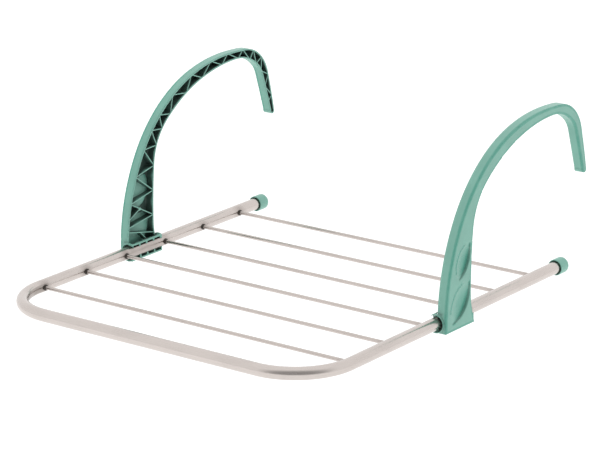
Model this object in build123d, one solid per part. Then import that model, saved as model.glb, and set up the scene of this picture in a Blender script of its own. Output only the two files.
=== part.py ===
from build123d import *
import os

# Hook-on drying rack: a bent tube frame with cross rods, hung from two moulded hook arms.
# The arms clip round the side tubes and fold inwards flat over the rods.
# +X right, +Y towards the rail, +Z up. The origin is midway between the two hooks,
# at the crown of the hooks' underside, where the top of the rail seats. Millimetres.

# ---- driving dimensions: frame ----
TUBE_RADIUS = 8.0
TUBE_WALL = 1.0
HALF_SPAN = 242.0          # rack's middle to a side tube's axis
BEND_RADIUS = 77.5         # front corners, on the tube's axis
SIDE_LENGTH = 534.9        # front tube's axis to the open ends of the side tubes
ROD_RADIUS = 2.4
ROD_COUNT = 6
FIRST_ROD = 81.6           # front tube's axis to the first rod
ROD_PITCH = 78.8
ROD_END_GAP = 3.0          # rod end to the far wall inside a side tube

# ---- driving dimensions: rod bushes and end caps ----
BUSH_FLANGE_RADIUS = 3.8
BUSH_FLANGE_THICKNESS = 1.2
BUSH_SHANK_RADIUS = 3.1
BUSH_TAIL = 1.5            # how far the shank stands inside the tube
CAP_RADIUS = 10.4
CAP_LENGTH = 19.6
CAP_END_WALL = 4.0
CAP_END_ROUND = 4.8
CAP_RIM_RADIUS = 9.2       # relief round the tube at the cap's mouth
CAP_RIM_DEPTH = 2.5

# ---- driving dimensions: hook arms ----
ARM_FRONT = 253.3          # front tube's axis to the arm's front face
CHANNEL_INNER = 1.8        # tube axis to the flanges' open edges
CHANNEL_OUTER = 15.0       # tube axis to the outer face of the web
WALL = 1.8                 # web and flanges
RIB_THICKNESS = 1.2
RIB_SETBACK = 0.4          # rib edges below the flanges' open edges
EDGE_ROUND = 1.4           # crease between web and flanges
BASE_BELOW = 11.9          # foot of the arm below the tube's axis
BASE_LENGTH = 61.4
CLIP_CLEARANCE = 0.05
CLIP_RADIUS = 12.0
CLIP_LENGTH = 60.0         # stays clear of the rod bush behind it when the arm turns
JAW_REACH = 5.7            # upright ends of the jaws, past the tube's axis
JAW_ROUND = 1.2
COLLAR_REACH = 2.0         # ring of the clip in front of the arm's front face
MOUTH_RADIUS = 10.8        # relief round the tube at the front of the clip
SHELL_RADIUS = 9.4         # thin shell over the tube between the upper jaw's lip and the web
LIP_THICKNESS = 1.5
POCKET_COUNT = 4
POCKET_LENGTH = 12.0
UPPER_POCKET_START = 2.2   # from the arm's front face to the first pocket
LOWER_POCKET_START = 3.6
POCKET_PITCH = 14.1
UPPER_POCKET_RADIUS = 10.6
LOWER_POCKET_RADIUS = 11.0
POCKET_START_ANGLE = 20.0  # before the top and the bottom of the tube
POCKET_END_ANGLE = 50.0    # past them, beyond the ends of the jaws
CROWN_REACH = 225.5        # arm's front face to the highest point under the hook
CROWN_HEIGHT = 210.6

# Side outlines of an arm: Y from its front face, Z above the tube's axis.
# Each list is a chain of arcs, tangent to each other, that starts straight up.
OUTER_START = (0, 0)
OUTER_ARC_ENDS = [(34, 124), (146.5, 211.5), (207, 221.5), (253, 220.3), (301, 179.5), (314, 122)]
INNER_START = (53, 30)
INNER_ARC_ENDS = [(57, 106), (86, 160), (155, 198.1), (232, 210.5), (278, 193.5), (289, 177),
                  (305.5, 123.5)]
TIP_LOWEST = (309.2, 118.4)

# Zigzag ribs: distances along the outer and the inner outline, taken in turn.
OUTER_RIB_STATIONS = [31, 63, 99, 136, 164, 188, 223, 267, 309, 345, 378, 402, 424, 455, 486]
INNER_RIB_STATIONS = [8, 41, 74, 101, 124, 148, 188, 224, 267, 302, 328, 344, 360, 385, 409]
SHELF_RIB = [(-1, 26), (54, 14)]
SHELF_STRUT = [(26.5, 19.5), (37.5, 9)]
CORNER_STRUT = [(2, 40), (26, 52)]
BOSS_RADIUS = 2.2

# Leaf-shaped scoops pressed into the web: lower tip, upper tip, bulge to the rear, bulge to the front.
SCOOPS = [((11, -2.5), (48, 46), 16.0, 16.0), ((25, 49.5), (48, 94), 11.5, 14.5)]
SCOOP_DEPTH = 3.4
SCOOP_EDGE_DEPTH = 0.3

# ---- places worked out from the driving dimensions ----
FRONT_Y = -(ARM_FRONT + CROWN_REACH)
FRAME_Z = -CROWN_HEIGHT
TUBE_BORE = TUBE_RADIUS - TUBE_WALL
FRAME_ORIGIN = Pos(0, FRONT_Y, FRAME_Z)
OVERRUN = 1.0              # how far a cutting solid runs past the face it opens


def rod_y(index):
    return FIRST_ROD + index * ROD_PITCH


def along_x(radius, start, end, y):
    """A round bar along X at the height of the frame, from start to end."""
    bar = Cylinder(radius, abs(end - start), rotation=(0, 90, 0))
    return Pos((start + end) / 2, y, 0) * bar


def tangent_chain(start, ends):
    """Arcs through the points, tangent to each other, starting along +Y of the sketch."""
    arcs = []
    point = Vector(*start)
    heading = Vector(0, 1)
    for end in ends:
        arc = TangentArc(point, Vector(*end), tangent=heading)
        arcs.append(arc)
        point = arc @ 1
        heading = arc % 1
    return arcs


# ---- frame ----
def frame_tube():
    """U-shaped tube, open at the back, drilled for a bush at each rod end."""
    corner_x = HALF_SPAN - BEND_RADIUS
    path = Wire([
        Edge.make_line((-HALF_SPAN, SIDE_LENGTH, 0), (-HALF_SPAN, BEND_RADIUS, 0)),
        *CenterArc((-corner_x, BEND_RADIUS), BEND_RADIUS, 180, 90).edges(),
        Edge.make_line((-corner_x, 0, 0), (corner_x, 0, 0)),
        *CenterArc((corner_x, BEND_RADIUS), BEND_RADIUS, 270, 90).edges(),
        Edge.make_line((HALF_SPAN, BEND_RADIUS, 0), (HALF_SPAN, SIDE_LENGTH, 0)),
    ])
    section_plane = Plane(origin=(-HALF_SPAN, SIDE_LENGTH, 0), x_dir=(1, 0, 0), z_dir=(0, -1, 0))
    section = section_plane * (Circle(TUBE_RADIUS) - Circle(TUBE_BORE))
    tube = sweep(section, path)
    for index in range(ROD_COUNT):
        for side in (-1, 1):
            mouth = side * (HALF_SPAN - 2 * TUBE_RADIUS)
            tube -= along_x(BUSH_SHANK_RADIUS, side * HALF_SPAN, mouth, rod_y(index))
    return tube


def cross_rod(index):
    reach = HALF_SPAN + TUBE_BORE - ROD_END_GAP
    rod = along_x(ROD_RADIUS, -reach, reach, rod_y(index))
    return chamfer(rod.edges().filter_by(GeomType.CIRCLE), ROD_RADIUS / 5)


def rod_bush(side, index):
    """Flanged bush in the tube's inner wall; its flange follows the tube's surface."""
    y = rod_y(index)
    wall_outside = HALF_SPAN - TUBE_RADIUS
    wall_inside = HALF_SPAN - TUBE_BORE
    flange = along_x(BUSH_FLANGE_RADIUS, side * HALF_SPAN, side * (wall_outside - BUSH_FLANGE_THICKNESS), y)
    tube = Pos(side * HALF_SPAN, y, 0) * Cylinder(TUBE_RADIUS, 4 * BUSH_FLANGE_RADIUS, rotation=(90, 0, 0))
    flange -= tube
    rim = flange.faces().sort_by(Axis.X)[0 if side > 0 else -1].outer_wire()
    flange = fillet(rim.edges(), BUSH_FLANGE_THICKNESS / 3)
    shank = along_x(BUSH_SHANK_RADIUS, side * (wall_inside + BUSH_TAIL), side * (wall_outside - 0.5), y)
    bore = along_x(ROD_RADIUS, side * (HALF_SPAN + TUBE_RADIUS), side * (HALF_SPAN - 2 * TUBE_RADIUS), y)
    return flange + shank - bore


def end_cap(side):
    """Round cap over an open tube end, with a relieved mouth and a rounded closed end."""
    mouth = SIDE_LENGTH + CAP_END_WALL - CAP_LENGTH
    outside = extrude(Plane.XZ * Circle(CAP_RADIUS), -CAP_LENGTH)
    outside = fillet(outside.edges().sort_by(Axis.Y)[-1], CAP_END_ROUND)
    socket = extrude(Plane.XZ * Circle(TUBE_RADIUS), -(CAP_LENGTH - CAP_END_WALL))
    relief = extrude(Plane.XZ * Circle(CAP_RIM_RADIUS), -CAP_RIM_DEPTH)
    return Pos(side * HALF_SPAN, mouth, 0) * (outside - socket - relief)


# ---- hook arm, modelled on the right: X out from the tube's axis, Y from its front face, Z up ----
def arm_outline():
    outer = tangent_chain(OUTER_START, OUTER_ARC_ENDS)
    inner = tangent_chain(INNER_START, INNER_ARC_ENDS)
    tip = ThreePointArc(outer[-1] @ 1, TIP_LOWEST, inner[-1] @ 1)
    heel = TangentArc(Vector(*INNER_START), Vector(BASE_LENGTH, -BASE_BELOW), tangent=(0, -1))
    foot = Line(heel @ 1, (0, -BASE_BELOW))
    front = Line(foot @ 1, OUTER_START)
    edges = [*outer, tip, *inner, heel, foot, front]
    return make_face(Wire([edge.edge() for edge in edges])), Wire([arc.edge() for arc in outer]), \
        Wire([arc.edge() for arc in inner])


def rib(start, end):
    """One thin upright rib between two points of the side outline."""
    a = Vector(*start)
    b = Vector(*end)
    run = b - a
    middle = (a + b) / 2
    angle = Vector(1, 0).get_signed_angle(run, Vector(0, 0, 1))
    return Pos(middle.X, middle.Y) * Rot(0, 0, angle) * Rectangle(run.length + RIB_THICKNESS, RIB_THICKNESS)


def rib_net(outer, inner):
    """All ribs as one flat pattern: the zigzag, the shelf above the clip and its struts."""
    outer_points = [outer.position_at(s, position_mode=PositionMode.LENGTH) for s in OUTER_RIB_STATIONS]
    inner_points = [inner.position_at(s, position_mode=PositionMode.LENGTH) for s in INNER_RIB_STATIONS]
    nodes = []
    for outer_point, inner_point in zip(outer_points, inner_points):
        nodes += [(outer_point.X, outer_point.Y), (inner_point.X, inner_point.Y)]
    lines = list(zip(nodes[:-1], nodes[1:])) + [SHELF_RIB, SHELF_STRUT, CORNER_STRUT]
    net = Sketch() + [rib(start, end) for start, end in lines]
    return net + Pos(*CORNER_STRUT[1]) * Circle(BOSS_RADIUS)


def scoop(tip_low, tip_high, rear_bulge, front_bulge, grow, top):
    """Lens-shaped solid under the web's outer face: deepest at its rear edge, fading to the front."""
    low = Vector(*tip_low)
    high = Vector(*tip_high)
    middle = (low + high) / 2
    across = (high - low).normalized().rotate(Axis.Z, -90)
    rear = middle + across * rear_bulge
    front = middle - across * front_bulge
    leaf = make_face(Wire([ThreePointArc(low, rear, high).edge(), ThreePointArc(high, front, low).edge()]))
    if grow:
        leaf = offset(leaf, grow)
    prism = extrude(Plane.YZ * leaf, top)
    drop = SCOOP_DEPTH - SCOOP_EDGE_DEPTH
    ball_radius = (rear_bulge + front_bulge) ** 2 / (2 * drop)
    ball_x = CHANNEL_OUTER - SCOOP_DEPTH + ball_radius
    return prism & Pos(ball_x, rear.X, rear.Y) * Sphere(ball_radius + grow)


def along_y(section, start, end):
    """A bar along Y from a section drawn in X and Z about the tube's axis."""
    return Pos(0, start, 0) * extrude(Plane.XZ * section, start - end)


def pie_bar(radius, start_angle, end_angle, start, end):
    """A bar along Y with a pie-slice section about the tube's axis; angles from +X, towards +Z."""
    arc = CenterArc((0, 0), radius, start_angle, end_angle - start_angle)
    slice_face = make_face(Wire([Line((0, 0), arc @ 0).edge(), arc.edge(), Line(arc @ 1, (0, 0)).edge()]))
    return along_y(slice_face, start, end)


def clip():
    """The clip, still without its bore: a ring with upright jaw ends on a flat-bottomed foot."""
    past_jaws = Pos(-JAW_REACH, 0) * Rectangle(CLIP_RADIUS, 2 * CLIP_RADIUS, align=(Align.MAX, Align.CENTER))
    ring = Circle(CLIP_RADIUS) - past_jaws
    foot_width = JAW_REACH + CHANNEL_OUTER - WALL / 2
    foot = Pos(-JAW_REACH, -BASE_BELOW) * Rectangle(foot_width, BASE_BELOW, align=(Align.MIN, Align.MIN))
    foot = fillet(foot.vertices().sort_by_distance((-JAW_REACH, -BASE_BELOW))[0], JAW_ROUND)
    body = along_y(ring, -COLLAR_REACH, WALL) + along_y(ring + foot, 0, CLIP_LENGTH)

    # The ring is hollowed out between the lip and the web, down to a thin shell over the tube.
    trough_start = LIP_THICKNESS - JAW_REACH
    trough = Pos(trough_start, TUBE_RADIUS * 0.75) * Rectangle(
        CHANNEL_OUTER - WALL - trough_start, CLIP_RADIUS, align=(Align.MIN, Align.MIN))
    return body - along_y(trough - Circle(SHELL_RADIUS), WALL, CLIP_LENGTH - WALL)


def hook_arm():
    outline, outer, inner = arm_outline()
    depth = CHANNEL_OUTER - CHANNEL_INNER
    open_side = Plane.YZ.offset(CHANNEL_INNER)
    body = extrude(open_side * outline, depth)
    body = fillet(body.faces().sort_by(Axis.X)[-1].edges(), EDGE_ROUND)
    hollow = extrude(open_side * offset(outline, -WALL), depth - WALL)

    bulges = [scoop(*leaf, WALL, CHANNEL_OUTER - WALL / 2) for leaf in SCOOPS]
    dishes = [scoop(*leaf, 0, CHANNEL_OUTER + OVERRUN) for leaf in SCOOPS]
    net = rib_net(outer, inner) & outline
    ribs = extrude(open_side.offset(RIB_SETBACK) * net, depth - RIB_SETBACK - WALL / 2)

    arm = body - hollow
    for bulge in bulges:
        arm += bulge
    arm += ribs
    arm += clip()
    for dish in dishes:
        arm -= dish
    bore = Circle(TUBE_RADIUS + CLIP_CLEARANCE)
    arm -= along_y(bore, -COLLAR_REACH - OVERRUN, BASE_LENGTH + OVERRUN)
    arm -= along_y(Circle(MOUTH_RADIUS), -COLLAR_REACH - OVERRUN, WALL)

    # Cored pockets in both jaws, open to the tube and to the jaws' ends.
    upper_angles = (90 - POCKET_START_ANGLE, 90 + POCKET_END_ANGLE)
    lower_angles = (-90 - POCKET_END_ANGLE, -90 + POCKET_START_ANGLE)
    for index in range(POCKET_COUNT):
        upper = UPPER_POCKET_START + index * POCKET_PITCH
        lower = LOWER_POCKET_START + index * POCKET_PITCH
        arm -= pie_bar(UPPER_POCKET_RADIUS, *upper_angles, upper, upper + POCKET_LENGTH)
        arm -= pie_bar(LOWER_POCKET_RADIUS, *lower_angles, lower, lower + POCKET_LENGTH)
    return arm


# ---- the nodes ----
nodes = {"frame_tube": frame_tube()}
for number in range(ROD_COUNT):
    nodes[f"rod_{number + 1}"] = cross_rod(number)
    nodes[f"rod_bush_left_{number + 1}"] = rod_bush(-1, number)
    nodes[f"rod_bush_right_{number + 1}"] = rod_bush(1, number)
nodes["end_cap_left"] = end_cap(-1)
nodes["end_cap_right"] = end_cap(1)

right_arm = Pos(HALF_SPAN, ARM_FRONT, 0) * hook_arm()
nodes["hook_arm_right"] = right_arm
nodes["hook_arm_left"] = mirror(right_arm, Plane.YZ)

os.makedirs("parts", exist_ok=True)
for name, shape in nodes.items():
    export_step(FRAME_ORIGIN * shape, f"parts/{name}.step")
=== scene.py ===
import math

import bmesh
import bpy
from mathutils import Matrix, Vector
from mathutils.bvhtree import BVHTree
from mathutils.kdtree import KDTree


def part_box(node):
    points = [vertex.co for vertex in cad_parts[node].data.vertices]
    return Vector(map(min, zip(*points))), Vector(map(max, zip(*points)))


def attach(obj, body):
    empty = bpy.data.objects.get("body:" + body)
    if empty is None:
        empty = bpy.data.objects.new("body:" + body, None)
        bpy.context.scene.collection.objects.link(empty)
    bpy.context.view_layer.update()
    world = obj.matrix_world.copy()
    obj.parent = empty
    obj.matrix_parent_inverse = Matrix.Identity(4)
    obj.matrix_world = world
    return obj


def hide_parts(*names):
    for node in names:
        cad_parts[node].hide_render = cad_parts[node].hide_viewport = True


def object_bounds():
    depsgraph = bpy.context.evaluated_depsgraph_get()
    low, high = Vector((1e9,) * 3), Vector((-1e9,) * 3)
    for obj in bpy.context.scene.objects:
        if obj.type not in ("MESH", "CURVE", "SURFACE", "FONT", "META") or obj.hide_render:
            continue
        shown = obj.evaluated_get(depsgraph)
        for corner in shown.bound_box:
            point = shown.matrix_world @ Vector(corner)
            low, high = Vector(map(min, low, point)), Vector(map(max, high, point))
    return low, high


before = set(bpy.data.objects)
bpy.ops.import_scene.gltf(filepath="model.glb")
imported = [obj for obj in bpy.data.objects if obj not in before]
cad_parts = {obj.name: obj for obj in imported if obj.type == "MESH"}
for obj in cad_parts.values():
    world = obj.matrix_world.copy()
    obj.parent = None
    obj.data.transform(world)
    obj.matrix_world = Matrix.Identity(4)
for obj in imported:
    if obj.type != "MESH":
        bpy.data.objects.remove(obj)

CAD_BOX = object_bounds()
SCENE = bpy.context.scene
MM = 0.001
SIDES = ("left", "right")

# ---- camera: a long lens that looks down on the rack from its right front ----
CAMERA_PLACE = (2.1637, -3.0232, 0.9681)
CAMERA_YAW = math.radians(37.238)       # turned left from looking along +Y
CAMERA_PITCH = math.radians(17.251)     # looking down
CAMERA_ROLL = math.radians(0.546)
LENS_MM = 178.52
SENSOR_MM = 36.0
FAR_CLIP = 50

# ---- room ----
FLOOR_DROP = 0.75                       # floor below the rack
FLOOR_RADIUS = 6.0
FLOOR_STEPS = 96
FLOOR_COLOUR = 0.93
FLOOR_ROUGHNESS = 0.9
FLOOR_GLOW = 0.26
DIM_SIDE = (0.57, -0.77, 0.22)          # the room's dim side
DIM_START = 0.40                        # closeness to the dim side where the room starts to dim
DIM_END = 0.93
SKY_BRIGHT = 1.10
SKY_DIM = 0.42
KEY_PLACE = (-2.5, -3.0, 3.5)
KEY_TARGET = (0, -0.2, -0.2)
KEY_SIZE = 2.5
KEY_POWER = 26

# ---- tube frame ----
TUBE_LOW, TUBE_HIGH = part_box("frame_tube")
TUBE_RADIUS = (TUBE_HIGH.z - TUBE_LOW.z) / 2
TUBE_WALL = 1.0 * MM
TUBE_END_ROUND = 0.25 * MM
BEND_RADIUS = 77.5 * MM
HALF_SPAN = TUBE_HIGH.x - TUBE_RADIUS
FRONT_Y = TUBE_LOW.y + TUBE_RADIUS
BACK_Y = TUBE_HIGH.y
FRAME_Z = (TUBE_LOW.z + TUBE_HIGH.z) / 2
STRAIGHT_STEP = 4 * MM                  # between rings along the tube's straight runs
BEND_STEPS = 56
RING_STEPS = 72                         # sides of a tube or rod
ROD_COUNT = 6
ROD_STEPS = 96

# ---- darker patches on the plating, 0 to 1: painted dark reflections by the clips, in the bends and at the rod ends, and darker round the bushes ----
BUSH_DARK_REACH = 14 * MM
# painted dark reflection on the tube by the clips
CLIP_REFLECTION = 0.55
CLIP_REFLECTION_MARGIN = 5 * MM
# painted dark reflection on the inside of the bends
BEND_REFLECTION = 0.9
BEND_REFLECTION_MARGIN = 10 * MM
DARK_PATCH_FALLOFF = 1.3
# painted dark reflection on the rods near the tube
ROD_END_REFLECTION = 0.6
ROD_REFLECTION_REACH = 18 * MM

# ---- end caps ----
CAP_END_ROUND = 4.8 * MM
CAP_RIM_RADIUS = 9.2 * MM               # relief round the tube at the cap's mouth
CAP_RIM_DEPTH = 2.5 * MM
CAP_END_WALL = 4.0 * MM
CAP_FIT = 0.02 * MM                     # socket's clearance on the tube
CAP_STEPS = 96
GATE_RADIUS = 1.6 * MM                  # moulding gate's dimple in the cap's end
GATE_FLOOR_RADIUS = 1.2 * MM
GATE_DEPTH = 0.35 * MM
CAP_MOUTH_SHADE = 0.09

# ---- hook arms ----
ARM_FACET = 3.2 * MM                    # longest triangle edge after refining
REFINE_ROUNDS = 8
WELD = 0.002 * MM
CREASE_ANGLE = math.radians(32)
SHADE_REACH = 16 * MM                   # how far nearby walls shade a surface
SHADE_RAYS = 40
SHADE_LIFT = 0.06 * MM
OUTSIDE_SHADE = 0.08                    # share of the closeness that shows on the arm's outside
RECESS_SHADE = 0.05                     # and on faces deep in the channel that look out of it
EDGE_ROUND = 1.4 * MM                   # rounded edge between web and flanges
SCOOP_DEPTH = 3.4 * MM
CHANNEL_MOUTH = HALF_SPAN + 1.8 * MM    # flanges' open edges
CHANNEL_DARK = 1.4 * MM                 # depth at which the channel is fully dark
WEB_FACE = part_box("hook_arm_right")[1].x
WEB_WALL = 1.8 * MM
COLLAR_REACH = 2.0 * MM                 # the clip's collar in front of the arm's front face
CLIP_LENGTH = 60 * MM
CLIP_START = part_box("hook_arm_right")[0].y
ARM_FRONT = CLIP_START + COLLAR_REACH
CLIP_END = ARM_FRONT + CLIP_LENGTH
LIP_ANGLE = math.radians(133)           # end of the clip's jaws round the tube, from straight out
LIP_BLEND = math.radians(6)
RIM_STEP = 0.4 * MM                     # spacing of the points that mark the rounded edge

# ---- colours, linear ----
TUBE_COLOUR = (0.60, 0.545, 0.515)
# dark tone for specks and for painted dark reflections on the tube
TUBE_DARK_PATCH = (0.20, 0.17, 0.15)
TUBE_ROUGHNESS = 0.21
ROD_COLOUR = (0.56, 0.505, 0.475)
# dark tone for specks and for painted dark reflections on the rods
ROD_DARK_PATCH = (0.13, 0.115, 0.10)
ROD_ROUGHNESS = 0.20
# near-black painted shade on the tube under the clip's jaws
JAW_SHADE_COLOUR = (0.012, 0.012, 0.010, 1)
TEAL_COLOUR = (0.197, 0.444, 0.362)
TEAL_ROUGHNESS = 0.34
TEAL_SHADE_KEPT = (0.48, 0.80, 0.75)        # how much of each colour channel stays in the painted shade along the rounded edge and in the scoops
# painted shade deep in the arms' channels and pockets
CHANNEL_SHADE_COLOUR = (0.045, 0.078, 0.066, 1)
PLASTIC_IOR = 1.49
RUBBER_COLOUR = (0.035, 0.028, 0.022)


def clamp(value):
    return max(0.0, min(1.0, value))


def scaled(colour, factor):
    return (*[c * factor for c in colour], 1)


# ---- camera, floor and light ----
def make_camera():
    look = Vector((-math.sin(CAMERA_YAW) * math.cos(CAMERA_PITCH),
                   math.cos(CAMERA_YAW) * math.cos(CAMERA_PITCH),
                   -math.sin(CAMERA_PITCH)))
    level = Vector((math.cos(CAMERA_YAW), math.sin(CAMERA_YAW), 0))
    down = look.cross(level)
    right = math.cos(CAMERA_ROLL) * level + math.sin(CAMERA_ROLL) * down
    up = math.sin(CAMERA_ROLL) * level - math.cos(CAMERA_ROLL) * down
    data = bpy.data.cameras.new("camera")
    data.lens = LENS_MM
    data.sensor_width = SENSOR_MM
    data.clip_end = FAR_CLIP
    camera = bpy.data.objects.new("camera", data)
    turn = Matrix((right, up, -look)).transposed().to_4x4()
    camera.matrix_world = Matrix.Translation(CAMERA_PLACE) @ turn
    SCENE.collection.objects.link(camera)
    SCENE.camera = camera


def make_floor():
    """A pale round floor with a slight glow, which stays plain white under the rack."""
    paper = Shader("floor_paper")
    paper.set("Base Color", (FLOOR_COLOUR, FLOOR_COLOUR, FLOOR_COLOUR, 1))
    paper.set("Roughness", FLOOR_ROUGHNESS)
    paper.set("Emission Color", (1, 1, 1, 1))
    paper.set("Emission Strength", FLOOR_GLOW)
    mesh = bpy.data.meshes.new("floor")
    ring = []
    for step in range(FLOOR_STEPS):
        turn = math.tau * step / FLOOR_STEPS
        ring.append((FLOOR_RADIUS * math.cos(turn), FLOOR_RADIUS * math.sin(turn), 0))
    mesh.from_pydata(ring, [], [list(range(FLOOR_STEPS))])
    mesh.materials.append(paper.material)
    floor = bpy.data.objects.new("floor", mesh)
    floor.location = (0, 0, CAD_BOX[0][2] - FLOOR_DROP)
    SCENE.collection.objects.link(floor)


def make_world():
    """A white room that is dimmer on one side, so that bright metal shows its roundness."""
    world = bpy.data.worlds.new("studio")
    SCENE.world = world
    world.use_nodes = True
    tree = world.node_tree
    background = tree.nodes["Background"]
    coords = tree.nodes.new("ShaderNodeTexCoord")
    dot = tree.nodes.new("ShaderNodeVectorMath")
    dot.operation = "DOT_PRODUCT"
    dot.inputs[1].default_value = Vector(DIM_SIDE).normalized()
    tree.links.new(coords.outputs["Generated"], dot.inputs[0])
    ramp = tree.nodes.new("ShaderNodeMapRange")
    ramp.interpolation_type = "SMOOTHSTEP"
    ramp.inputs["From Min"].default_value = DIM_START
    ramp.inputs["From Max"].default_value = DIM_END
    ramp.inputs["To Min"].default_value = SKY_BRIGHT
    ramp.inputs["To Max"].default_value = SKY_DIM
    tree.links.new(dot.outputs["Value"], ramp.inputs["Value"])
    tree.links.new(ramp.outputs["Result"], background.inputs["Strength"])
    background.inputs["Color"].default_value = (1, 1, 1, 1)


def make_key_light():
    """A large soft light that isn't mirrored in the metal."""
    data = bpy.data.lights.new("key", "AREA")
    data.shape = "DISK"
    data.size = KEY_SIZE
    data.energy = KEY_POWER
    light = bpy.data.objects.new("key", data)
    light.location = KEY_PLACE
    aim = Vector(KEY_TARGET) - Vector(KEY_PLACE)
    light.rotation_euler = aim.to_track_quat("-Z", "Y").to_euler()
    light.visible_glossy = False
    SCENE.collection.objects.link(light)


# ---- materials ----
class Shader:
    """A material with one Principled shader and short ways to add nodes to it."""

    def __init__(self, name):
        self.material = bpy.data.materials.new(name)
        self.material.use_nodes = True
        self.tree = self.material.node_tree
        self.shader = self.tree.nodes["Principled BSDF"]

    def plug(self, socket, value):
        """Links a node's output into a socket, or sets a constant on it."""
        if isinstance(value, bpy.types.NodeSocket):
            self.tree.links.new(value, socket)
        else:
            socket.default_value = value

    def set(self, socket, value):
        self.plug(self.shader.inputs[socket], value)

    def node(self, kind, out, sockets=(), **settings):
        made = self.tree.nodes.new(kind)
        for key, value in settings.items():
            setattr(made, key, value)
        for key, value in dict(sockets).items():
            self.plug(made.inputs[key], value)
        return made.outputs[out]

    def attribute(self, name, out="Fac"):
        return self.node("ShaderNodeAttribute", out, attribute_name=name)

    def coords(self, source, scale):
        return self.node("ShaderNodeMapping", "Vector", {"Vector": source, "Scale": scale})

    def object_coords(self):
        return self.node("ShaderNodeTexCoord", "Object")

    def noise(self, vector, scale, detail=3.0, roughness=0.55):
        sockets = {"Vector": vector, "Scale": scale, "Detail": detail, "Roughness": roughness}
        return self.node("ShaderNodeTexNoise", "Fac", sockets)

    def span(self, value, low, high, to_low=0.0, to_high=1.0, smooth=True):
        """Maps low..high to to_low..to_high and holds it there outside."""
        sockets = {"Value": value, "From Min": low, "From Max": high,
                   "To Min": to_low, "To Max": to_high}
        kind = "SMOOTHSTEP" if smooth else "LINEAR"
        return self.node("ShaderNodeMapRange", "Result", sockets, interpolation_type=kind)

    def maths(self, operation, a, b):
        return self.node("ShaderNodeMath", "Value", {0: a, 1: b}, operation=operation)

    def blend(self, factor, a, b):
        return self.node("ShaderNodeMix", 2, {0: factor, 6: a, 7: b}, data_type="RGBA")

    def bump(self, height, strength, distance, normal=None):
        sockets = {"Height": height, "Strength": strength, "Distance": distance}
        if normal is not None:
            sockets["Normal"] = normal
        return self.node("ShaderNodeBump", "Normal", sockets)


def bright_metal(name, colour, dark_patch, roughness):
    """Plated steel: lines drawn along the bar, cloudy polish, specks, painted dark reflections,
    darker patches, and painted shade under the clip jaws.
    """
    made = Shader(name)
    flow = made.attribute("flow", "Vector")
    patch_mask = made.attribute("dark_patch")
    jaw_shade = made.attribute("jaw_shade")
    lines = made.noise(made.coords(flow, (1, 1, 0.02)), 2600, 2.0)
    clouds = made.noise(made.coords(flow, (1, 1, 0.35)), 55, 4.0)
    specks = made.noise(flow, 1500, 2.0, 0.7)
    patch = made.maths("MULTIPLY", patch_mask, made.span(clouds, 0.25, 0.7, 0.45, 1.0))

    tone = made.blend(made.span(clouds, 0.35, 0.68, 0.0, 0.4), (*colour, 1), scaled(colour, 0.88))
    tone = made.blend(made.span(lines, 0.4, 0.75, 0.0, 0.25), tone, scaled(colour, 0.80))
    tone = made.blend(made.span(specks, 0.69, 0.78, 0.0, 0.55), tone, (*dark_patch, 1))
    # painted dark reflections, and darker round the bushes, in cloudy patches
    tone = made.blend(patch, tone, (*dark_patch, 1))
    # painted shade under the clip's jaws, near black
    made.set("Base Color", made.blend(made.span(jaw_shade, 0.0, 1.0, 0.0, 0.97), tone, JAW_SHADE_COLOUR))
    made.set("Metallic", 1.0)

    rough = made.span(clouds, 0.3, 0.7, roughness - 0.035, roughness + 0.05)
    rough = made.maths("ADD", rough, made.span(lines, 0.35, 0.75, 0.0, 0.04))
    rough = made.maths("ADD", rough, made.maths("MULTIPLY", jaw_shade, 0.4))
    made.set("Roughness", made.maths("ADD", rough, made.maths("MULTIPLY", patch, 0.18)))
    relief = made.maths("ADD", lines, made.maths("MULTIPLY", specks, 0.5))
    made.set("Normal", made.bump(relief, 0.10, 0.03 * MM))
    return made.material


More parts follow.
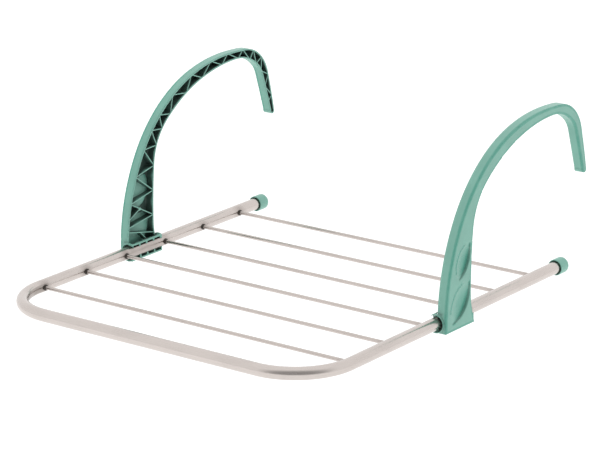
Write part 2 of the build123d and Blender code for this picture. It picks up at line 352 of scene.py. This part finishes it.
def moulded_plastic(name, colour, roughness):
    """Moulded plastic: fine grain, flow clouds, specks, painted shade along the web's rounded edge,
    in the scoops and deep in the channels.
    """
    made = Shader(name)
    place = made.object_coords()
    hollow = made.attribute("hollow")
    rim = made.attribute("rim")
    dish = made.attribute("dish")
    clouds = made.noise(place, 34, 3.0)
    flow = made.noise(made.coords(place, (1.0, 0.35, 0.35)), 160, 3.0)
    grain = made.noise(place, 3200, 2.0, 0.6)
    specks = made.noise(place, 900, 1.0, 0.5)

    tone = made.blend(made.span(clouds, 0.36, 0.66), scaled(colour, 0.96), scaled(colour, 1.03))
    tone = made.blend(made.span(flow, 0.45, 0.75, 0.0, 0.10), tone, scaled(colour, 0.85))
    tone = made.blend(made.span(specks, 0.70, 0.76, 0.0, 0.12), tone, scaled(colour, 1.35))
    # painted shade: a darker, deeper teal along the web's rounded edge and towards the deep side of
    # each scoop
    edge = made.span(rim, 1.2 * MM, 3.4 * MM, 1.0, 0.0)
    edge_and_scoop_shade = made.maths("MULTIPLY", edge, made.span(flow, 0.35, 0.6, 0.8, 1.0))
    edge_and_scoop_shade = made.maths("MAXIMUM", edge_and_scoop_shade, made.span(dish, 0.10, 1.0, 0.0, 1.0))
    shaded_teal = (*[c * kept for c, kept in zip(colour, TEAL_SHADE_KEPT)], 1)
    tone = made.blend(edge_and_scoop_shade, tone, shaded_teal)
    # painted shade: darker where nearby walls close a surface in, most deep in the channels
    closed = made.span(hollow, 0.0, 0.13, 0.0, 0.95, False)
    made.set("Base Color", made.blend(closed, tone, CHANNEL_SHADE_COLOUR))

    rough = made.span(clouds, 0.3, 0.7, roughness - 0.02, roughness + 0.03)
    rough = made.maths("ADD", rough, made.span(grain, 0.3, 0.7, -0.02, 0.03))
    rough = made.maths("SUBTRACT", rough, made.maths("MULTIPLY", edge_and_scoop_shade, 0.10))
    made.set("Roughness", made.maths("ADD", rough, made.maths("MULTIPLY", hollow, 0.15)))
    made.set("IOR", PLASTIC_IOR)
    soft = made.node("ShaderNodeBevel", "Normal", {"Radius": 0.6 * MM}, samples=6)
    ripple = made.bump(flow, 0.12, 0.2 * MM, soft)
    made.set("Normal", made.bump(grain, 0.22, 0.04 * MM, ripple))
    return made.material


def bush_rubber(name, colour):
    """Dark rubber with a grey bloom."""
    made = Shader(name)
    place = made.object_coords()
    clouds = made.noise(place, 260, 3.0)
    grain = made.noise(place, 4000, 2.0)
    bloom = (*[c * 2.0 + 0.01 for c in colour], 1)
    made.set("Base Color", made.blend(made.span(clouds, 0.4, 0.7, 0.0, 0.5), (*colour, 1), bloom))
    made.set("Roughness", made.span(clouds, 0.3, 0.7, 0.5, 0.68))
    made.set("Normal", made.bump(grain, 0.3, 0.05 * MM))
    return made.material


# ---- meshes ----
def new_piece(name, mesh, material, body, node):
    """A piece that rides on a body and takes the place of one CAD node."""
    mesh.materials.clear()
    mesh.materials.append(material)
    mesh.shade_smooth()
    mesh.set_sharp_from_angle(angle=CREASE_ANGLE)
    piece = bpy.data.objects.new(name, mesh)
    SCENE.collection.objects.link(piece)
    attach(piece, body)
    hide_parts(node)


def store(mesh, name, values, domain="POINT"):
    mesh.attributes.new(name, "FLOAT", domain).data.foreach_set("value", values)


def ring_faces(rows, steps, joined):
    """Faces between neighbouring rings of vertices; joined also links the last ring to the first."""
    faces = []
    for row in range(rows if joined else rows - 1):
        this_row = row * steps
        next_row = (row + 1) % rows * steps
        for step in range(steps):
            after = (step + 1) % steps
            faces.append((this_row + step, this_row + after, next_row + after, next_row + step))
    return faces


def swept_mesh(name, stations, hollow, dark_patch, jaw_shade):
    """A bar with rings at stations (place, across, up, distance, radius).

    A hollow bar's stations go along its outside and back inside it, so its ends join up.
    """
    verts = []
    flow = []
    for place, across, up, distance, radius in stations:
        for step in range(RING_STEPS):
            turn = math.tau * step / RING_STEPS
            verts.append(place + radius * (math.cos(turn) * across + math.sin(turn) * up))
            flow += (radius * math.cos(turn), radius * math.sin(turn), distance)
    faces = ring_faces(len(stations), RING_STEPS, hollow)
    if not hollow:
        last_ring = (len(stations) - 1) * RING_STEPS
        faces.append(tuple(reversed(range(RING_STEPS))))
        faces.append(tuple(range(last_ring, last_ring + RING_STEPS)))
    mesh = bpy.data.meshes.new(name)
    mesh.from_pydata(verts, [], faces)
    mesh.attributes.new("flow", "FLOAT_VECTOR", "POINT").data.foreach_set("vector", flow)
    store(mesh, "dark_patch", [dark_patch(point) for point in verts])
    store(mesh, "jaw_shade", [jaw_shade(point) for point in verts])
    shape = bmesh.new()
    shape.from_mesh(mesh)
    bmesh.ops.recalc_face_normals(shape, faces=shape.faces)
    shape.to_mesh(mesh)
    shape.free()
    return mesh


def turned_mesh(name, profile, place, axis):
    """A closed profile of (along, radius) turned about axis through place."""
    rotate = axis.to_track_quat("Z", "Y").to_matrix()
    verts = []
    for along, radius in profile:
        for step in range(CAP_STEPS):
            turn = math.tau * step / CAP_STEPS
            spot = Vector((radius * math.cos(turn), radius * math.sin(turn), along))
            verts.append(place + rotate @ spot)
    mesh = bpy.data.meshes.new(name)
    mesh.from_pydata(verts, [], ring_faces(len(profile), CAP_STEPS, True))
    shape = bmesh.new()
    shape.from_mesh(mesh)
    bmesh.ops.remove_doubles(shape, verts=shape.verts, dist=1e-6)
    bmesh.ops.dissolve_degenerate(shape, edges=shape.edges, dist=1e-7)
    bmesh.ops.recalc_face_normals(shape, faces=shape.faces)
    shape.to_mesh(mesh)
    shape.free()
    return mesh


# ---- tube, rods and caps ----
def tube_path():
    """Stations (place, across, up, distance) along the U, from its left open end to its right."""
    corner_x = HALF_SPAN - BEND_RADIUS
    corner_y = FRONT_Y + BEND_RADIUS

    def straight(start, end, out):
        start = Vector((*start, FRAME_Z))
        end = Vector((*end, FRAME_Z))
        count = int((end - start).length / STRAIGHT_STEP)
        return [(start.lerp(end, i / count), Vector(out)) for i in range(count + 1)]

    def bend(side, first_turn):
        centre = Vector((side * corner_x, corner_y, FRAME_Z))
        spots = []
        for i in range(1, BEND_STEPS):
            turn = first_turn + math.pi / 2 * i / BEND_STEPS
            out = Vector((math.cos(turn), math.sin(turn), 0))
            spots.append((centre + BEND_RADIUS * out, out))
        return spots

    path = straight((-HALF_SPAN, BACK_Y), (-HALF_SPAN, corner_y), (-1, 0, 0))
    path += bend(-1, math.pi)
    path += straight((-corner_x, FRONT_Y), (corner_x, FRONT_Y), (0, -1, 0))
    path += bend(1, 1.5 * math.pi)
    path += straight((HALF_SPAN, corner_y), (HALF_SPAN, BACK_Y), (1, 0, 0))

    up = Vector((0, 0, 1))
    stations = []
    distance = 0
    before = path[0][0]
    for place, out in path:
        distance += (place - before).length
        stations.append((place, out, up, distance))
        before = place
    return stations


def tube_dark_patches(point):
    """How dark the plating is made: painted dark reflections by the clips and inside the bends, and
    darker round the bushes.
    """
    darkness = max(1 - (point - place).length / BUSH_DARK_REACH for place in BUSH_PLACES)
    by_clip = CLIP_START - CLIP_REFLECTION_MARGIN < point.y < CLIP_END + CLIP_REFLECTION_MARGIN
    if by_clip and abs(point.x) > HALF_SPAN - TUBE_RADIUS - MM:
        darkness = max(darkness, CLIP_REFLECTION)
    bend_x = abs(point.x) - (HALF_SPAN - BEND_RADIUS)
    bend_y = point.y - (FRONT_Y + BEND_RADIUS)
    in_bend = bend_x > -BEND_REFLECTION_MARGIN and bend_y < BEND_REFLECTION_MARGIN
    if in_bend and math.hypot(bend_x, bend_y) < BEND_RADIUS - TUBE_RADIUS * 0.8:
        darkness = max(darkness, BEND_REFLECTION)
    return clamp(darkness) ** DARK_PATCH_FALLOFF


def tube_jaw_shade(point):
    """Painted shade on the tube where the clip's jaws close over it, seen only through the jaws'
    pockets.
    """
    inside = min(point.y - ARM_FRONT, CLIP_END - point.y) / MM
    turn = abs(math.atan2(point.z - FRAME_Z, abs(point.x) - HALF_SPAN))
    return clamp(min(inside, (LIP_ANGLE - turn) / LIP_BLEND))


def frame_tube_piece(material):
    stations = tube_path()
    end_radius = TUBE_RADIUS - TUBE_END_ROUND
    loop = [(*stations[0], end_radius)]
    loop += [(*station, TUBE_RADIUS) for station in stations]
    loop += [(*stations[-1], end_radius)]
    loop += [(*station, TUBE_RADIUS - TUBE_WALL) for station in reversed(stations)]
    mesh = swept_mesh("frame_tube_metal", loop, True, tube_dark_patches, tube_jaw_shade)
    new_piece("frame_tube_metal", mesh, material, "rack_frame", "frame_tube")


def rod_piece(index, material):
    low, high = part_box(f"rod_{index}")
    middle = (low + high) / 2
    radius = (high.z - low.z) / 2
    chamfer = radius / 4
    rings = [(low.x, radius - chamfer), (low.x + chamfer, radius)]
    rings += [(low.x + (high.x - low.x) * i / ROD_STEPS, radius) for i in range(1, ROD_STEPS)]
    rings += [(high.x - chamfer, radius), (high.x, radius - chamfer)]
    across = Vector((0, 1, 0))
    up = Vector((0, 0, 1))
    stations = [(Vector((x, middle.y, middle.z)), across, up, x, ring) for x, ring in rings]

    # painted dark reflection on the rod near the tube
    def dark_patch(point):
        inward = HALF_SPAN - TUBE_RADIUS - abs(point.x)
        return ROD_END_REFLECTION * max(0.0, 1 - inward / ROD_REFLECTION_REACH) ** 2

    mesh = swept_mesh(f"rod_{index}_metal", stations, False, dark_patch, lambda point: 0.0)
    new_piece(f"rod_{index}_metal", mesh, material, "rack_frame", f"rod_{index}")


def corner_arc(centre, radius, start, end, steps):
    points = []
    for i in range(steps + 1):
        turn = math.radians(start + (end - start) * i / steps)
        points.append((centre[0] + radius * math.cos(turn), centre[1] + radius * math.sin(turn)))
    return points


def end_cap_piece(side_name, material):
    node = f"end_cap_{side_name}"
    low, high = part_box(node)
    radius = (high.z - low.z) / 2
    length = high.y - low.y
    place = Vector(((low.x + high.x) / 2, low.y, (low.z + high.z) / 2))
    socket_radius = TUBE_RADIUS + CAP_FIT
    lip_middle = (radius + CAP_RIM_RADIUS) / 2
    lip_round = (radius - CAP_RIM_RADIUS) / 2
    profile = [(CAP_RIM_DEPTH, socket_radius), (CAP_RIM_DEPTH, CAP_RIM_RADIUS)]
    profile += corner_arc((lip_round, lip_middle), lip_round, 270, 90, 10)
    profile += [(length * 0.3, radius), (length * 0.55, radius)]
    profile += corner_arc((length - CAP_END_ROUND, radius - CAP_END_ROUND), CAP_END_ROUND, 90, 0, 14)
    profile += [(length, GATE_RADIUS)]
    profile += [(length - GATE_DEPTH, GATE_FLOOR_RADIUS), (length - GATE_DEPTH, 0.0)]
    profile += [(length - CAP_END_WALL, 0.0), (length - CAP_END_WALL, socket_radius)]
    mesh = turned_mesh(f"{node}_moulding", profile, place, Vector((0, 1, 0)))
    hollow = []
    for vertex in mesh.vertices:
        out = math.hypot(vertex.co.x - place.x, vertex.co.z - place.z)
        before_end = vertex.co.y - low.y < length - CAP_END_WALL + MM
        inside = out < CAP_RIM_RADIUS + 0.05 * MM and before_end
        hollow.append(CAP_MOUTH_SHADE if inside else 0.0)
    store(mesh, "hollow", hollow)
    store(mesh, "rim", [1.0] * len(hollow))
    store(mesh, "dish", [0.0] * len(hollow))
    new_piece(f"{node}_moulding", mesh, material, "rack_frame", node)


# ---- hook arms ----
def refine(shape):
    """Splits long edges until every triangle is small enough to carry its own shading."""
    for _ in range(REFINE_ROUNDS):
        long_edges = [edge for edge in shape.edges if edge.calc_length() > ARM_FACET]
        if not long_edges:
            return
        bmesh.ops.subdivide_edges(shape, edges=long_edges, cuts=1, use_grid_fill=False)
        bmesh.ops.triangulate(shape, faces=shape.faces)


def hemisphere_rays(count):
    """Cosine-weighted directions about +Z, spread on a spiral."""
    rays = []
    golden = math.pi * (3 - math.sqrt(5))
    for i in range(count):
        lift = math.sqrt(1 - (i + 0.5) / count)
        out = math.sqrt(1 - lift * lift)
        rays.append(Vector((out * math.cos(golden * i), out * math.sin(golden * i), lift)))
    return rays


def closeness(tree, start, directions):
    """How much nearby walls close in a point, 0 to 1."""
    total = 0.0
    for direction in directions:
        distance = tree.ray_cast(start, direction, SHADE_REACH)[3]
        if distance is not None:
            total += 1 - distance / SHADE_REACH
    return total / SHADE_RAYS


def shade_hollows(mesh):
    """Stores how dark nearby walls make each face corner, and each vertex's place on the web."""
    shape = bmesh.new()
    shape.from_mesh(mesh)
    tree = BVHTree.FromBMesh(shape)
    rays = hemisphere_rays(SHADE_RAYS)
    closed = {}
    values = []
    for face in shape.faces:
        normal = face.normal
        facing = tuple(round(part, 1) for part in normal)
        turn = normal.to_track_quat("Z", "Y")
        directions = None
        centre = face.calc_center_median()
        outside = normal.x > 0.1
        if abs(normal.x) <= 0.5 and centre.x > WEB_FACE - 1.2 * SCOOP_DEPTH:
            start = centre + normal * SHADE_LIFT
            sky = tree.ray_cast(start, Vector((1, 0, 0)), SHADE_REACH)[3] is None
            outside = outside or sky
        for loop in face.loops:
            key = (loop.vert.index, facing)
            if key not in closed:
                if directions is None:
                    directions = [turn @ ray for ray in rays]
                start = loop.vert.co.lerp(centre, 0.15) + normal * SHADE_LIFT
                closed[key] = closeness(tree, start, directions)
            values.append(closed[key] * share_of_shade(loop.vert.co, normal, outside))
    rim, dish = mark_web(shape)
    shape.free()
    store(mesh, "hollow", values, "CORNER")
    store(mesh, "rim", rim)
    store(mesh, "dish", dish)


def share_of_shade(place, normal, outside):
    """How much of the closeness shows as dark: most deep in the channel, little on the outside."""
    if outside or place.y < ARM_FRONT + 0.3 * MM:
        return OUTSIDE_SHADE
    depth = place.x - CHANNEL_MOUTH
    share = clamp((depth - 0.3 * MM) / CHANNEL_DARK)
    raised = place.x < WEB_FACE - WEB_WALL - 0.3 * MM
    if normal.x < -0.5 and depth > 2 * MM and raised:
        share *= RECESS_SHADE
    return share


def mark_web(shape):
    """For each vertex, its distance from the web's rounded edge and its depth in a scoop."""
    on_rim = set()
    for vertex in shape.verts:
        inset = WEB_FACE - vertex.co.x
        if 0.35 < vertex.normal.x < 0.93 and 0.05 * EDGE_ROUND < inset < 0.8 * EDGE_ROUND:
            on_rim.add(vertex)
    marks = []
    for edge in shape.edges:
        start, end = edge.verts
        if start in on_rim and end in on_rim:
            count = int(edge.calc_length() / RIM_STEP) + 1
            marks += [start.co.lerp(end.co, i / count) for i in range(count + 1)]
    tree = KDTree(len(marks))
    for index, mark in enumerate(marks):
        tree.insert(mark, index)
    tree.balance()
    rim = [tree.find(vertex.co)[2] for vertex in shape.verts]
    dish = []
    for vertex, far in zip(shape.verts, rim):
        inset = WEB_FACE - vertex.co.x
        on_web = vertex.normal.x > 0.3 and inset < SCOOP_DEPTH + 0.2 * MM
        in_scoop = on_web and far > 2 * EDGE_ROUND
        dish.append(min(1.0, inset / SCOOP_DEPTH) if in_scoop else 0.0)
    return rim, dish


def arm_mesh():
    """The right arm's surface, welded, split finely and shaded."""
    shape = bmesh.new()
    shape.from_mesh(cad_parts["hook_arm_right"].data)
    bmesh.ops.remove_doubles(shape, verts=shape.verts, dist=WELD)
    bmesh.ops.triangulate(shape, faces=shape.faces)
    refine(shape)
    shape.normal_update()
    mesh = bpy.data.meshes.new("hook_arm_right_moulding")
    shape.to_mesh(mesh)
    shape.free()
    shade_hollows(mesh)
    return mesh


def mirrored(mesh, name):
    copy = mesh.copy()
    copy.name = name
    copy.transform(Matrix.Scale(-1, 4, Vector((1, 0, 0))))
    copy.flip_normals()
    return copy


# ---- build ----
BUSH_PLACES = []
for index in range(1, ROD_COUNT + 1):
    for side_name, side in zip(SIDES, (-1, 1)):
        low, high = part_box(f"rod_bush_{side_name}_{index}")
        wall_x = side * (HALF_SPAN - TUBE_RADIUS)
        BUSH_PLACES.append(Vector((wall_x, (low.y + high.y) / 2, FRAME_Z)))

make_camera()
make_floor()
make_world()
make_key_light()
SCENE.view_settings.view_transform = "Standard"

TUBE_METAL = bright_metal("plated_tube", TUBE_COLOUR, TUBE_DARK_PATCH, TUBE_ROUGHNESS)
ROD_METAL = bright_metal("plated_rod", ROD_COLOUR, ROD_DARK_PATCH, ROD_ROUGHNESS)
TEAL = moulded_plastic("teal_moulding", TEAL_COLOUR, TEAL_ROUGHNESS)
RUBBER = bush_rubber("bush_rubber", RUBBER_COLOUR)

frame_tube_piece(TUBE_METAL)
for index in range(1, ROD_COUNT + 1):
    rod_piece(index, ROD_METAL)
for side_name in SIDES:
    end_cap_piece(side_name, TEAL)
right_mesh = arm_mesh()
arm_meshes = {"right": right_mesh, "left": mirrored(right_mesh, "hook_arm_left_moulding")}
for side_name, mesh in arm_meshes.items():
    node = f"hook_arm_{side_name}"
    new_piece(f"{node}_moulding", mesh, TEAL, f"{side_name}_arm", node)
for name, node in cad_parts.items():
    if name.startswith("rod_bush"):
        node.data.materials.clear()
        node.data.materials.append(RUBBER)
